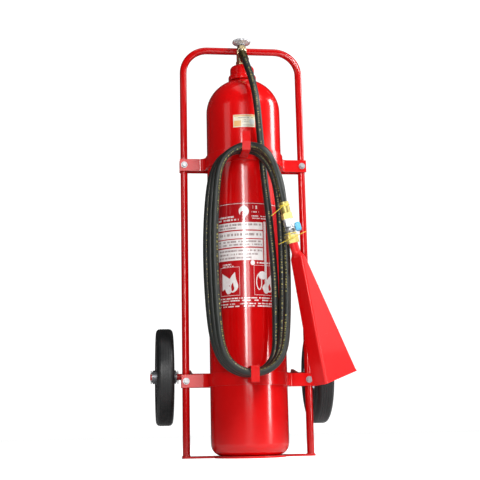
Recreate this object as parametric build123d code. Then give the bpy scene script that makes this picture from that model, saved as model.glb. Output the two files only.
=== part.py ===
from build123d import *
import math
import os

# Wheeled carbon dioxide fire extinguisher: a steel cylinder on a two-wheeled tube trolley.
# Millimetres. The origin is on the cylinder's axis, at the underside of the base plate.
# +Z is up, -Y is the front, where the hose hangs, +Y is the back, where the wheels are.

os.makedirs("parts", exist_ok=True)

# ---- driving dimensions ------------------------------------------------------------------

# cylinder
CYL_R = 114.5
CYL_WALL = 5.0
CYL_CORNER_R = 34.0
SHOULDER_Z = 1049.0
SHOULDER_RISE = 108.0
NECK_R = 30.0
NECK_TOP_Z = 1198.0
NECK_BORE_R = 14.0
DISH_R = 62.0
DISH_RISE = 9.0

# trolley frame
BASE_T = 6.0
BASE_TONGUE_R = 104.0
BASE_BAR_X = 197.0
BASE_BAR_FRONT_Y = 10.0
BASE_BAR_BACK_Y = 56.0
TUBE_R = 11.0
TUBE_WALL = 2.0
POST_X = 184.4
POST_Y = 29.0
BAR_Z = 1268.8
BEND_R = 77.0

# clamps
STRAP_T = 5.0
STRAP_H = 38.0
UPPER_CLAMP_Z = 886.0
LOWER_CLAMP_Z = 223.5
EAR_END_X = 198.0
FLARE_R = 20.0
BOLT_R = 4.0
WASHER_R = 9.8
WASHER_T = 2.0
BOLT_HEAD_AF = 13.0
BOLT_HEAD_T = 5.3
NUT_T = 6.5

# hose hooks
HOOK_W = 24.0
HOOK_T = 4.0
HOOK_LEG_Y = -120.9
UPPER_TAB_Y = -204.0
LOWER_TAB_Y = -199.0
UPPER_HOOK_X = -17.0
LOWER_HOOK_X = -6.0

# wheels and axle
AXLE_R = 10.0
AXLE_Y = 185.0
AXLE_Z = 245.5
AXLE_END_X = 287.0
WHEEL_X = 242.7
TYRE_R = 150.0
TYRE_W = 52.0
TYRE_INNER_R = 98.0
RIM_INNER_R = 92.0
HUB_R = 21.0
HUB_HALF = 36.0
BUSH_R = 14.0
BUSH_PLAY = 0.08
BRACKET_X = 163.0
BRACKET_T = 6.0
PIN_R = 2.0

# valve
VALVE_R = 16.5
VALVE_BORE_R = 8.0
OUTLET_Z = 1240.0
SPINDLE_R = 5.0
SPINDLE_PLAY = 0.05
HANDWHEEL_R = 29.5
HANDWHEEL_Z = 1284.0
HANDWHEEL_H = 10.0
HANDWHEEL_LOBES = 8

# hose
HOSE_R = 10.5
OUTLET_TURN = -8.0
INLET_REACH = 46.0
INLET_START = (
    INLET_REACH * math.sin(math.radians(OUTLET_TURN)),
    -INLET_REACH * math.cos(math.radians(OUTLET_TURN)),
    OUTLET_Z,
)
INLET_LENGTH = 50.0
HOSE_TURNS = 3
ARCH_TOP_Z = 889.0
ARCH_BOTTOM_Z = 234.0
HOSE_END = (88.0, -191.0, 719.0)

# horn
HORN_TOP = (114.9, -178.6, 601.8)
HORN_DIR = (0.287, 0.110, -0.951)
HORN_BROAD_DIR = (0.80, 0.52, 0.30)
HORN_LENGTH = 403.5
HORN_NECK_R = 13.0
HORN_NECK_END = 26.5
HORN_THICK = (50.0, 58.0)
HORN_BROAD = (18.0, 134.0)
HORN_FAN_START = 44.5
HORN_BANDS = (135.5, 273.5)
HORN_BORE_R = 5.0
HORN_WALL = 3.0

# labels
LABEL_T = 0.3


# ---- helpers -----------------------------------------------------------------------------

def save(name, shape):
    """Write one node."""
    export_step(shape, f"parts/{name}.step")


def ring(r_out, r_in, z_low, z_high):
    """A tube about the Z axis."""
    height = z_high - z_low
    middle = Pos(0, 0, (z_low + z_high) / 2)
    return middle * (Cylinder(r_out, height) - Cylinder(r_in, height + 2))


def disc(r, z_low, z_high):
    """A solid disc about the Z axis."""
    return Pos(0, 0, (z_low + z_high) / 2) * Cylinder(r, z_high - z_low)


def hexagon(across_flats, z_low, z_high):
    """A hexagonal prism about the Z axis."""
    outline = RegularPolygon(across_flats / 2, 6, major_radius=False)
    return Pos(0, 0, z_low) * extrude(outline, z_high - z_low)


def block(low, high):
    """A box from its lowest corner to its highest."""
    size = [b - a for a, b in zip(low, high)]
    centre = [(a + b) / 2 for a, b in zip(low, high)]
    return Pos(*centre) * Box(*size)


def aimed(shape, origin, direction, x_dir=None):
    """Move a shape whose axis is +Z at the origin onto another axis."""
    if x_dir is None:
        return Plane(origin, z_dir=direction) * shape
    return Plane(origin, x_dir=x_dir, z_dir=direction) * shape


def along(origin, direction, distance):
    """The point that lies a distance from the origin along a direction."""
    return Vector(*origin) + Vector(*direction).normalized() * distance


def tube_along(path, radius):
    """A round bar swept along a path."""
    return sweep(Plane(path @ 0, z_dir=path % 0) * Circle(radius), path=path)


# ---- cylinder ----------------------------------------------------------------------------

def bottle_outline(radius, floor_z, corner_r, neck_r, top_z, dish_r, dish_rise, shrink):
    """Half of the bottle's section: dished foot, straight side, shoulder and neck."""
    rise = SHOULDER_RISE - shrink
    angle = math.degrees(math.acos(neck_r / radius))
    shoulder_z = SHOULDER_Z + rise * math.sin(math.radians(angle))
    lines = [
        ThreePointArc((0, floor_z + dish_rise), (dish_r * 0.6, floor_z + dish_rise * 0.64), (dish_r, floor_z)),
        Line((dish_r, floor_z), (radius - corner_r, floor_z)),
        CenterArc((radius - corner_r, floor_z + corner_r), corner_r, -90, 90),
        Line((radius, floor_z + corner_r), (radius, SHOULDER_Z)),
        EllipticalCenterArc((0, SHOULDER_Z), radius, rise, 0, arc_size=angle),
        Line((neck_r, shoulder_z), (neck_r, top_z)),
        Line((neck_r, top_z), (0, top_z)),
        Line((0, top_z), (0, floor_z + dish_rise)),
    ]
    return Plane.XZ * make_face(Curve() + lines)


def make_cylinder():
    outside = bottle_outline(
        CYL_R, BASE_T, CYL_CORNER_R, NECK_R, NECK_TOP_Z, DISH_R, DISH_RISE, 0.0
    )
    inside = bottle_outline(
        CYL_R - CYL_WALL, BASE_T + CYL_WALL + 2, CYL_CORNER_R - CYL_WALL, NECK_BORE_R,
        NECK_TOP_Z + 5, DISH_R, DISH_RISE, CYL_WALL + 2,
    )
    return revolve(outside, Axis.Z) - revolve(inside, Axis.Z)


def make_neck_collar():
    """The ring on the neck: a lower flange with soft corners and a domed upper part."""
    lower = fillet(disc(43.3, 1155, 1172).edges().filter_by(GeomType.CIRCLE), 4.0)
    upper = disc(37.6, 1170, 1204)
    upper = fillet(upper.edges().group_by(Axis.Z)[-1], 11.0)
    waist = disc(36.0, 1168, 1175)
    collar = lower + upper + waist
    return collar - disc(NECK_R, 1150, NECK_TOP_Z) - disc(VALVE_R + 6.2, 1190, 1210)


# ---- trolley frame -----------------------------------------------------------------------

def make_frame_tube():
    """One tube bent into an upside-down U, open at its feet."""
    path = FilletPolyline(
        (-POST_X, POST_Y, BASE_T), (-POST_X, POST_Y, BAR_Z), (POST_X, POST_Y, BAR_Z),
        (POST_X, POST_Y, BASE_T), radius=BEND_R,
    )
    frame = tube_along(path, TUBE_R) - tube_along(path, TUBE_R - TUBE_WALL)
    for clamp_z in (UPPER_CLAMP_Z, LOWER_CLAMP_Z):
        for side in (-1, 1):
            hole = Pos(side * POST_X, POST_Y, clamp_z) * Rot(90, 0, 0) * Cylinder(BOLT_R + 0.3, 40)
            frame -= hole
    return frame


def make_base_plate():
    """A flat bar between the posts with a round tongue under the cylinder."""
    bar = block((-BASE_BAR_X, BASE_BAR_FRONT_Y, 0), (BASE_BAR_X, BASE_BAR_BACK_Y, BASE_T))
    bar = fillet(bar.edges().filter_by(Axis.Z), 8.0)
    return bar + disc(BASE_TONGUE_R, 0, BASE_T)


# ---- clamps and hooks --------------------------------------------------------------------

def clamp_half(centre_z, ear_y, way):
    """One half of a clamp: a strap of even thickness with a flat ear at each end."""
    ring_out = CYL_R + STRAP_T
    reach = CYL_R + STRAP_T / 2 + FLARE_R
    flare_y = ear_y + way * FLARE_R
    flare_x = math.sqrt(reach ** 2 - flare_y ** 2)
    touch_y = flare_y * (CYL_R + STRAP_T / 2) / reach
    # the ring, kept on its own side of the line where the flares leave it
    wrap = Circle(ring_out) - Circle(CYL_R)
    keep_middle = touch_y + way * 2 * ring_out
    wrap &= Pos(0, keep_middle) * Rectangle(4 * ring_out, 4 * ring_out)
    outline = wrap
    for side in (-1, 1):
        flare = Pos(side * flare_x, flare_y) * (
            Circle(FLARE_R + STRAP_T / 2) - Circle(FLARE_R - STRAP_T / 2)
        )
        # keep the part of the flare between the ear and the ring
        corner = [(side * flare_x, flare_y), (side * flare_x, ear_y - way * 2 * STRAP_T),
                  (side * (flare_x - 60), ear_y - way * 2 * STRAP_T), (0, 0)]
        flare &= make_face(Polyline(*corner, close=True))
        ear_x = (flare_x + EAR_END_X) / 2
        ear = Pos(side * ear_x, ear_y) * Rectangle(EAR_END_X - flare_x, STRAP_T)
        outline += flare + ear
    strap = Pos(0, 0, centre_z - STRAP_H / 2) * extrude(outline, STRAP_H)
    for side in (-1, 1):
        strap -= Pos(side * POST_X, ear_y, centre_z) * Rot(90, 0, 0) * Cylinder(BOLT_R + 0.3, 20)
    return strap


FRONT_EAR_Y = POST_Y - TUBE_R - STRAP_T / 2
REAR_EAR_Y = POST_Y + TUBE_R + STRAP_T / 2


def bent_bar(points, x_middle, radius):
    """A flat bar bent along points (y, z) of its middle line."""
    path = FilletPolyline(*[(x_middle, y, z) for y, z in points], radius=radius)
    section = Plane(path @ 0, x_dir=(1, 0, 0), z_dir=path % 0) * Rectangle(HOOK_W, HOOK_T)
    return sweep(section, path=path)


def make_upper_hook():
    """A cradle under the hose with a lip in front of it, welded to the upper clamp."""
    rest_z = ARCH_TOP_Z - HOSE_R - 3.5 - HOOK_T / 2
    points = [(HOOK_LEG_Y, UPPER_CLAMP_Z + 16), (HOOK_LEG_Y, rest_z), (UPPER_TAB_Y + 8, rest_z),
              (UPPER_TAB_Y, 897.0), (UPPER_TAB_Y, 927.0)]
    return bent_bar(points, UPPER_HOOK_X, 5.0) - disc(CYL_R + STRAP_T, 850, 930)


def make_lower_hook():
    """An upside-down hook over the bottom of the hose's turns, welded to the lower clamp."""
    rest_z = ARCH_BOTTOM_Z + HOSE_R + 5.0 + HOOK_T / 2
    points = [(HOOK_LEG_Y, LOWER_CLAMP_Z - 14), (HOOK_LEG_Y, rest_z),
              (LOWER_TAB_Y, rest_z), (LOWER_TAB_Y, 207.5)]
    return bent_bar(points, LOWER_HOOK_X, 5.0) - disc(CYL_R + STRAP_T, 195, 260)


def make_fasteners():
    """The four clamp bolts with their washers and nuts, each set as one group."""
    bolts, washers, nuts = [], [], []
    front_y = POST_Y - TUBE_R - STRAP_T
    back_y = POST_Y + TUBE_R + STRAP_T
    for clamp_z in (UPPER_CLAMP_Z, LOWER_CLAMP_Z):
        for side in (-1, 1):
            # local +Z points to the front
            place = Pos(side * POST_X, front_y, clamp_z) * Rot(90, 0, 0)
            depth = back_y - front_y
            shank = disc(BOLT_R, -depth - WASHER_T - NUT_T - 3, WASHER_T)
            head = hexagon(BOLT_HEAD_AF, WASHER_T, WASHER_T + BOLT_HEAD_T)
            head = chamfer(head.edges().group_by(Axis.Z)[-1], 0.7)
            bolts.append(place * (shank + head))
            washers.append(place * ring(WASHER_R, BOLT_R + 0.3, 0, WASHER_T))
            washers.append(place * ring(WASHER_R - 0.8, BOLT_R + 0.3, -depth - WASHER_T, -depth))
            nut = hexagon(BOLT_HEAD_AF, -depth - WASHER_T - NUT_T, -depth - WASHER_T)
            nuts.append(place * (nut - disc(BOLT_R, -depth - 20, -depth)))
    return Compound(bolts), Compound(washers), Compound(nuts)


# ---- axle and wheels ---------------------------------------------------------------------

def make_axle_brackets():
    """Two flat bars from the lower clamp's rear ears back to the axle."""
    ear_back = REAR_EAR_Y + STRAP_T / 2
    low, high = LOWER_CLAMP_Z - STRAP_H / 2, LOWER_CLAMP_Z + STRAP_H / 2
    eye_r = 20.0
    lean = math.atan2(AXLE_Z - LOWER_CLAMP_Z, AXLE_Y - ear_back)
    up = (AXLE_Y - math.sin(lean) * eye_r, AXLE_Z + math.cos(lean) * eye_r)
    down = (AXLE_Y + math.sin(lean) * eye_r, AXLE_Z - math.cos(lean) * eye_r)
    outline = make_face(Polyline((ear_back, low), down, up, (ear_back, high), close=True))
    outline += Pos(AXLE_Y, AXLE_Z) * Circle(eye_r)
    outline -= Pos(AXLE_Y, AXLE_Z) * Circle(AXLE_R)
    bars = []
    for side in (-1, 1):
        plane = Plane((side * BRACKET_X - BRACKET_T / 2, 0, 0), x_dir=(0, 1, 0), z_dir=(1, 0, 0))
        bars.append(extrude(plane * outline, BRACKET_T))
    return Compound(bars)


def on_axle(shape, x):
    """Turn a shape about Z into one about the axle, at a place along it."""
    return Pos(x, AXLE_Y, AXLE_Z) * Rot(0, 90, 0) * shape


PIN_SEATS = (WHEEL_X - HUB_HALF - 6.5, WHEEL_X + HUB_HALF + 5.0)


def make_axle():
    bar = on_axle(Cylinder(AXLE_R, 2 * AXLE_END_X), 0)
    bar = chamfer(bar.edges().filter_by(GeomType.CIRCLE), 1.5)
    for side in (-1, 1):
        for seat in PIN_SEATS:
            bar -= Pos(side * seat, AXLE_Y, AXLE_Z) * Cylinder(PIN_R + 0.2, 3 * AXLE_R)
    return bar


def make_axle_washers():
    washers = []
    for side in (-1, 1):
        for x_low in (WHEEL_X - HUB_HALF - 3.0, WHEEL_X + HUB_HALF + 0.5):
            washers.append(on_axle(ring(17.0, AXLE_R + 0.2, -1.25, 1.25), side * (x_low + 1.25)))
    return Compound(washers)


def make_cotter_pins():
    """Split pins: an eye above the axle and two bent legs below it."""
    pins = []
    for side in (-1, 1):
        for seat in PIN_SEATS:
            shank = Cylinder(PIN_R, 2 * AXLE_R + 6)
            eye = Pos(0, 0, AXLE_R + 3 + 2.6) * Rot(0, 90, 0) * Torus(3.6, 1.4)
            leg = Pos(0, 0, -AXLE_R - 2) * Rot(38, 0, 0) * Pos(0, 0, -5) * Cylinder(1.2, 12)
            other_leg = mirror(leg, about=Plane.XZ)
            pins.append(Pos(side * seat, AXLE_Y, AXLE_Z) * (shank + eye + leg + other_leg))
    return Compound(pins)


def wheel_section(outline):
    """Spin a section, drawn with x along the axle and y outward, about the wheel's axis."""
    return revolve(outline, Axis.X)


def make_tyre():
    depth = TYRE_R - TYRE_INNER_R
    section = Pos(0, TYRE_INNER_R + depth / 2) * Rectangle(TYRE_W, depth)
    section = fillet(section.vertices().group_by(Axis.Y)[-1], 13.0)
    section = fillet(section.vertices().group_by(Axis.Y)[0], 5.0)
    for groove_x in (-15.0, -7.5, 0.0, 7.5, 15.0):
        section -= Pos(groove_x, TYRE_R) * Rectangle(1.8, 5.0)
    for side in (-1, 1):
        section -= Pos(side * TYRE_W / 2, TYRE_INNER_R + 18) * Circle(1.2)
    return wheel_section(section)


def make_rim():
    """The rolled rim that carries the tyre, with a lip turned in at each side."""
    section = Pos(0, (RIM_INNER_R + TYRE_INNER_R) / 2) * Rectangle(44, TYRE_INNER_R - RIM_INNER_R)
    for side in (-1, 1):
        section += Pos(side * 20.5, TYRE_INNER_R - 6.5) * Rectangle(3, 13)
    return wheel_section(section)


def make_wheel_disc():
    """The disc between rim and hub, with a collar round the hub and six lightening holes."""
    web = Pos(0, (HUB_R + RIM_INNER_R) / 2) * Rectangle(5, RIM_INNER_R - HUB_R)
    collar = Pos(0, HUB_R + 4) * Rectangle(16, 8)
    plate = wheel_section(web + collar)
    for step in range(6):
        plate -= Rot(60 * step, 0, 0) * Pos(0, 0, 58) * Rot(0, 90, 0) * Cylinder(14.0, 30)
    return plate


def make_hub():
    """The hub tube, which holds the bush."""
    return Rot(0, 90, 0) * ring(HUB_R, BUSH_R, -HUB_HALF, HUB_HALF)


def make_bush():
    """A plain bush between the hub and the axle."""
    return Rot(0, 90, 0) * ring(BUSH_R, AXLE_R + BUSH_PLAY, -HUB_HALF, HUB_HALF)


# ---- valve -------------------------------------------------------------------------------

def make_valve_body():
    body = disc(NECK_BORE_R, 1166, NECK_TOP_Z)
    body += disc(VALVE_R + 6.0, NECK_TOP_Z, 1206)
    body += hexagon(33.0, 1206, 1221)
    body += disc(VALVE_R, 1221, 1262)
    outlet = Rot(0, 0, OUTLET_TURN)
    body += outlet * Pos(0, -20, OUTLET_Z) * Rot(90, 0, 0) * Cylinder(11.0, 24)
    body += Pos(0, 15, 1232) * Rot(90, 0, 0) * Cylinder(9.0, 22)
    body -= disc(VALVE_BORE_R, 1216, 1266)
    body -= disc(4.0, 1150, 1220)
    body -= outlet * Pos(0, -20, OUTLET_Z) * Rot(90, 0, 0) * Cylinder(5.0, 30)
    body -= Pos(0, 15, 1232) * Rot(90, 0, 0) * Cylinder(3.0, 30)
    return body


def make_gland_nut():
    nut = hexagon(24.0, 1262, 1275)
    nut = chamfer(nut.edges().group_by(Axis.Z)[-1], 1.0)
    nut += ring(VALVE_BORE_R - 0.05, 6.0, 1254, 1262)
    return nut - disc(SPINDLE_R + SPINDLE_PLAY, 1250, 1280)


def make_spindle():
    """The stem, with a seat pad below and a square for the handwheel above."""
    stem = disc(SPINDLE_R, 1226, 1284)
    stem += disc(VALVE_BORE_R - 0.5, 1220, 1228)
    stem += Pos(0, 0, 1289) * Box(7, 7, 12)
    return stem + disc(3.0, 1293, 1300)


def make_handwheel():
    """A lobed, domed wheel that narrows below to a hub on the spindle's square."""
    rim_r = HANDWHEEL_R
    half = make_face(Curve() + [
        Line((0, -6), (11, -6)),
        Line((11, -6), (11, -4)),
        Line((11, -4), (rim_r - 5, 0.5)),
        ThreePointArc((rim_r - 5, 0.5), (rim_r, 4.0), (rim_r - 4, 8.0)),
        Line((rim_r - 4, 8.0), (9, HANDWHEEL_H)),
        Line((9, HANDWHEEL_H), (0, HANDWHEEL_H)),
        Line((0, HANDWHEEL_H), (0, -6)),
    ])
    wheel = revolve(Plane.XZ * half, Axis.Z)
    for step in range(HANDWHEEL_LOBES):
        turn = Rot(0, 0, 360 / HANDWHEEL_LOBES * step)
        wheel -= turn * Pos(rim_r + 6.0, 0, 0) * Cylinder(8.5, 40)
    wheel -= Box(7.04, 7.04, 40) + disc(SPINDLE_R + 0.05, -10, 0)
    return Pos(0, 0, HANDWHEEL_Z) * wheel


def make_handwheel_nut():
    nut = hexagon(13.0, HANDWHEEL_Z + HANDWHEEL_H + 1.0, HANDWHEEL_Z + HANDWHEEL_H + 5.5)
    washer = disc(8.0, HANDWHEEL_Z + HANDWHEEL_H, HANDWHEEL_Z + HANDWHEEL_H + 1.0)
    return nut + washer - disc(3.0, 1280, 1310) - Pos(0, 0, 1290) * Box(7, 7, 10.2)


def make_burst_disc_plug():
    """The safety disc's plug on the back of the valve."""
    plug = disc(9.0, 0, 2) + hexagon(15.0, 2, 8)
    for step in range(4):
        plug -= Rot(0, 0, 90 * step) * Pos(6, 0, 5) * Rot(0, 90, 0) * Cylinder(1.2, 8)
    return Pos(0, 26, 1232) * Rot(-90, 0, 0) * plug


def make_dip_tube():
    """The tube from the valve down to the cylinder's floor, cut slanting."""
    tube = ring(6.0, 5.0, 32, 1166)
    return tube - Pos(0, 0, 30) * Rot(0, 30, 0) * Box(40, 40, 12)


# ---- hose --------------------------------------------------------------------------------

# The lead runs from the valve down over the shoulder and behind the turns.
LEAD_POINTS = [
    (8.0, -104.0, 1156.0), (14.0, -126.0, 1116.7), (20.7, -140.0, 1070.2),
    (25.5, -145.0, 1024.5), (30.1, -139.0, 970.4), (35.1, -130.5, 917.3), (39.8, -128.0, 853.2),
    (45.1, -127.5, 789.1), (52.6, -127.0, 719.5), (59.0, -128.0, 632.3), (64.2, -129.0, 549.1),
    (66.6, -129.0, 467.1),
]
INLET_DIR = tuple((Vector(*LEAD_POINTS[0]) - Vector(*INLET_START)).normalized())
SET_AXIS = Vector(*HORN_TOP) - Vector(*HOSE_END)
SET_DIR = tuple(SET_AXIS.normalized())
LEFT_X = (-130.0, -120.0, -110.0)
LEFT_Y = (-135.0, -159.3, -183.6)
RIGHT_X = (66.0, 87.0, 98.0, 86.0)
RIGHT_Y = (-129.0, -137.0, -155.5, -184.0)
HOOK_Y = (-135.0, -159.3, -183.6)
TOP_X = (-20.0, -14.0, -8.0)
BOTTOM_X = (-16.0, -12.0, -6.0)
CROSSING_PUSH = 22.0
QUARTER_DROP = 138.0


def quarter_turn(middle_x, side_x, apex_z, side_y, hook_y, way, push):
    """Four points of a turn, from the run at a hook out to the side.

    way is 1 going up from the lower hook and -1 going down from the upper hook. push brings
    the points forward, where the turn crosses in front of the one before it.
    """
    reach = abs(side_x - middle_x)
    sign = 1 if side_x > middle_x else -1
    corner_r = 44.0 + 0.42 * reach
    half_turn = math.tan(math.radians(15))
    rows = (
        (half_turn * corner_r, 0.0, 1.0, 0.25),
        ((1 - half_turn) * corner_r, half_turn * corner_r, 1.0, 1.0),
        (corner_r, (1 - half_turn) * corner_r, 0.85, 0.8),
        ((corner_r + 2 * reach) / 3, QUARTER_DROP, 0.35, 0.3),
    )
    points = []
    for out, drop, hook_share, push_share in rows:
        y = side_y + (hook_y - side_y) * hook_share - push * push_share
        points.append((middle_x + sign * out, y, apex_z + way * drop))
    return points


def hose_points():
    """The hose's route: lead, three turns round the two hooks, and the run to its end."""
    points = [tuple(along(INLET_START, INLET_DIR, INLET_LENGTH))]
    points += LEAD_POINTS
    for turn in range(HOSE_TURNS):
        hook_y = HOOK_Y[turn]
        left = (LEFT_X[turn], LEFT_Y[turn])
        points += reversed(quarter_turn(
            BOTTOM_X[turn], RIGHT_X[turn], ARCH_BOTTOM_Z, RIGHT_Y[turn], hook_y, 1, 0.0
        ))
        points += quarter_turn(BOTTOM_X[turn], left[0], ARCH_BOTTOM_Z, left[1], hook_y, 1, 0.0)
        points += [(left[0] - 1.0, left[1], 505.0), (left[0] - 1.5, left[1], 630.0)]
        points += reversed(quarter_turn(TOP_X[turn], left[0], ARCH_TOP_Z, left[1], hook_y, -1, 0.0))
        last_turn = turn == HOSE_TURNS - 1
        right = (RIGHT_X[turn + 1], RIGHT_Y[turn + 1])
        down = quarter_turn(TOP_X[turn], right[0], ARCH_TOP_Z, right[1], hook_y, -1, CROSSING_PUSH)
        points += down[:3] if last_turn else down
        if not last_turn:
            points += [(right[0] + 0.5, right[1], 625.0), (right[0] + 1.0, right[1], 500.0)]
    points.append(tuple(along(HOSE_END, SET_DIR, -45.0)))
    points.append(HOSE_END)
    return [Vector(*point) for point in points]


def corner_radii(points):
    """The largest arc that each corner's two runs allow."""
    radii = []
    for before, corner, after in zip(points, points[1:], points[2:]):
        run_in, run_out = corner - before, after - corner
        half_turn = math.radians(run_in.get_angle(run_out) / 2)
        radii.append(0.45 * min(run_in.length, run_out.length) / math.tan(half_turn))
    return radii


def make_hose():
    points = hose_points()
    radii = corner_radii(points)
    print("hose arc radii, mm:", [round(radius) for radius in radii])
    path = FilletPolyline(*points, radius=radii)
    hose = tube_along(path, HOSE_R)
    expected = math.pi * HOSE_R ** 2 * path.length
    print("hose length, mm:", round(path.length), "volume share:", round(hose.volume / expected, 4))
    return hose


def make_outlet_nut():
    """The hexagon nut that holds the elbow on the valve's outlet."""
    nut = hexagon(26.0, 32, 41) - disc(10.0, 30, 45)
    return Rot(0, 0, OUTLET_TURN) * Pos(0, 0, OUTLET_Z) * Rot(90, 0, 0) * nut


def make_outlet_elbow():
    """An elbow that turns the outlet down towards the hose."""
    place = Rot(0, 0, OUTLET_TURN) * Pos(0, 7 - INLET_REACH, OUTLET_Z) * Rot(90, 0, 0)
    arm = place * Cylinder(10.0, 14)
    knee = Pos(*INLET_START) * Sphere(10.0)
    leg = aimed(disc(9.0, 0, 14), INLET_START, INLET_DIR)
    return arm + knee + leg - place * Cylinder(5.0, 14)


def make_inlet_ferrule():
    """The crimped sleeve at the hose's valve end, with three shallow crimp rings."""
    sleeve = disc(13.0, 14, INLET_LENGTH)
    for groove_z in (20, 26, 32):
        sleeve -= ring(15.0, 12.2, groove_z, groove_z + 2)
    return aimed(sleeve, INLET_START, INLET_DIR)


# ---- hose-end set ------------------------------------------------------------------------

FERRULE_LENGTH = 50.0
BALL_VALVE_START = 64.0
BALL_VALVE_END = 97.0
SET_STEM_DIR = (0.957, -0.238, 0.129)
VALVE_MID = 81.0
HORN_NUT_BORE_R = 8.0
LEVER_X = 20.2
LEVER_T = 3.0


def on_set(shape):
    """Place a shape, drawn from the hose's end down +Z, on the hose-end set's axis."""
    return aimed(shape, HOSE_END, SET_DIR, x_dir=SET_STEM_DIR)


def make_end_ferrule():
    """The crimped sleeve at the hose's far end, with a hexagon collar."""
    sleeve = disc(14.0, 0, 33)
    for groove_z in (6, 12, 29):
        sleeve -= ring(16.0, 13.2, groove_z, groove_z + 2.2)
    return on_set(sleeve + hexagon(28.0, 33, FERRULE_LENGTH))


def make_union_nut():
    nut = hexagon(24.0, FERRULE_LENGTH, BALL_VALVE_START)
    return on_set(nut - disc(6.0, 40, 70))


def make_ball_valve_body():
    body = hexagon(25.0, BALL_VALVE_START, 72) + disc(11.5, 70, 92) + hexagon(25.0, 89.5, BALL_VALVE_END)
    body += Pos(0, 0, VALVE_MID) * Sphere(14.0)
    body += Pos(14, 0, VALVE_MID) * Rot(0, 90, 0) * Cylinder(6.5, 10)
    body -= Pos(0, 0, VALVE_MID) * Sphere(9.05)
    body -= disc(6.0, 60, 100)
    body -= Pos(14, 0, VALVE_MID) * Rot(0, 90, 0) * Cylinder(3.05, 30)
    return on_set(body)


def make_valve_ball():
    """The ball with its bore across the flow when shut, and its stem."""
    ball = Sphere(9.0) - Rot(90, 0, 0) * Cylinder(5.5, 30)
    stem = Pos(16, 0, 0) * Rot(0, 90, 0) * Cylinder(3.0, 18)
    return on_set(Pos(0, 0, VALVE_MID) * (ball + stem))


def make_lever():
    """The flat steel lever on the stem, pointing forward when shut."""
    strap = block((LEVER_X, -7, -7), (LEVER_X + LEVER_T, 50, 7))
    strap = fillet(strap.edges().filter_by(Axis.X), 5.0)
    strap -= Pos(LEVER_X + LEVER_T / 2, 0, 0) * Rot(0, 90, 0) * Cylinder(3.0, 10)
    return on_set(Pos(0, 0, VALVE_MID) * strap)


def make_lever_sleeve():
    """The moulded grip over the lever's end."""
    sleeve = block((LEVER_X - 3.3, 24, -12.5), (LEVER_X + LEVER_T + 11, 60, 12.5))
    sleeve = fillet(sleeve.edges().filter_by(Axis.Y), 7.0)
    sleeve = fillet(sleeve.edges().group_by(Axis.Y)[-1], 3.5)
    return on_set(Pos(0, 0, VALVE_MID) * sleeve) - make_lever()


def make_lever_nut():
    nut = Rot(0, 90, 0) * hexagon(10.0, LEVER_X + LEVER_T, LEVER_X + LEVER_T + 4.5)
    return on_set(Pos(0, 0, VALVE_MID) * (nut - Rot(0, 90, 0) * disc(3.0, 20, 40)))


def make_horn_nut():
    """The wide union nut between the ball valve and the horn."""
    length = SET_AXIS.length
    nut = hexagon(32.0, BALL_VALVE_END, length)
    return on_set(nut - disc(HORN_NUT_BORE_R, 90, length + 5))


# ---- horn --------------------------------------------------------------------------------

def horn_size(distance):
    """The horn's broad and thick sizes at a distance from its top."""
    share = (distance - HORN_FAN_START) / (HORN_LENGTH - HORN_FAN_START)
    broad = HORN_BROAD[0] + (HORN_BROAD[1] - HORN_BROAD[0]) * share
    thick = HORN_THICK[0] + (HORN_THICK[1] - HORN_THICK[0]) * share
    return broad, thick


def horn_section(distance, grow):
    broad, thick = horn_size(distance)
    return Pos(0, 0, distance) * RectangleRounded(broad + 2 * grow, thick + 2 * grow, 7.0 + grow)


def horn_band(low, high, grow):
    """A thin raised band round the horn."""
    outer = loft([horn_section(low, grow), horn_section(high, grow)])
    return outer - loft([horn_section(low - 1, -1.0), horn_section(high + 1, -1.0)])


def make_horn():
    """A flat fan-shaped horn, hollow and open at its mouth, with a round neck."""
    start = HORN_FAN_START
    end = HORN_LENGTH
    # the neck starts inside the nut and is then cut flush with the nut's lower face
    outside = disc(HORN_NECK_R, -3, HORN_NECK_END)
    outside += loft([Pos(0, 0, HORN_NECK_END) * Circle(HORN_NECK_R), horn_section(start, 0)])
    outside += loft([horn_section(start, 0), horn_section(end, 0)])
    for band in HORN_BANDS:
        outside += horn_band(band, band + 3.0, 0.7)
    outside += horn_band(end - 5.0, end, 0.9)
    inner_start = horn_section(start + 6, -HORN_WALL)
    inside = loft([Pos(0, 0, HORN_NECK_END) * Circle(HORN_BORE_R), inner_start])
    inside += loft([inner_start, horn_section(end + 1, -HORN_WALL)])
    inside += disc(HORN_BORE_R, -5, HORN_NECK_END)
    placed = aimed(outside - inside, HORN_TOP, HORN_DIR, x_dir=HORN_BROAD_DIR)
    return placed - make_horn_nut() - on_set(disc(HORN_NUT_BORE_R, 90, SET_AXIS.length))


def make_seal_ties():
    """Two plastic tamper ties, each a loop with a lock in front and a straight tail."""
    upper = ring(15.5, 14.1, 8.3, 11.7)
    upper += block((3, 13.75, 6.0), (10, 18.0, 14.0))
    upper += tube_along(Line((-42, 16.1, 31.5), (9, 16.1, 6)), 1.0)
    # the lower tie's lock reaches down in front of the horn's nut
    lower = ring(15.9, 14.5, 91.0, 94.2)
    lower += block((-6, 14.6, 90.5), (-1, 22.5, 95.5))
    lower += block((-6, 19.0, 90.5), (-1, 22.5, 110.0))
    lower += tube_along(Line((-40, 21.6, 116), (44, 21.6, 98)), 1.0)
    return Compound([on_set(upper), on_set(lower)])


# ---- labels ------------------------------------------------------------------------------

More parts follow.
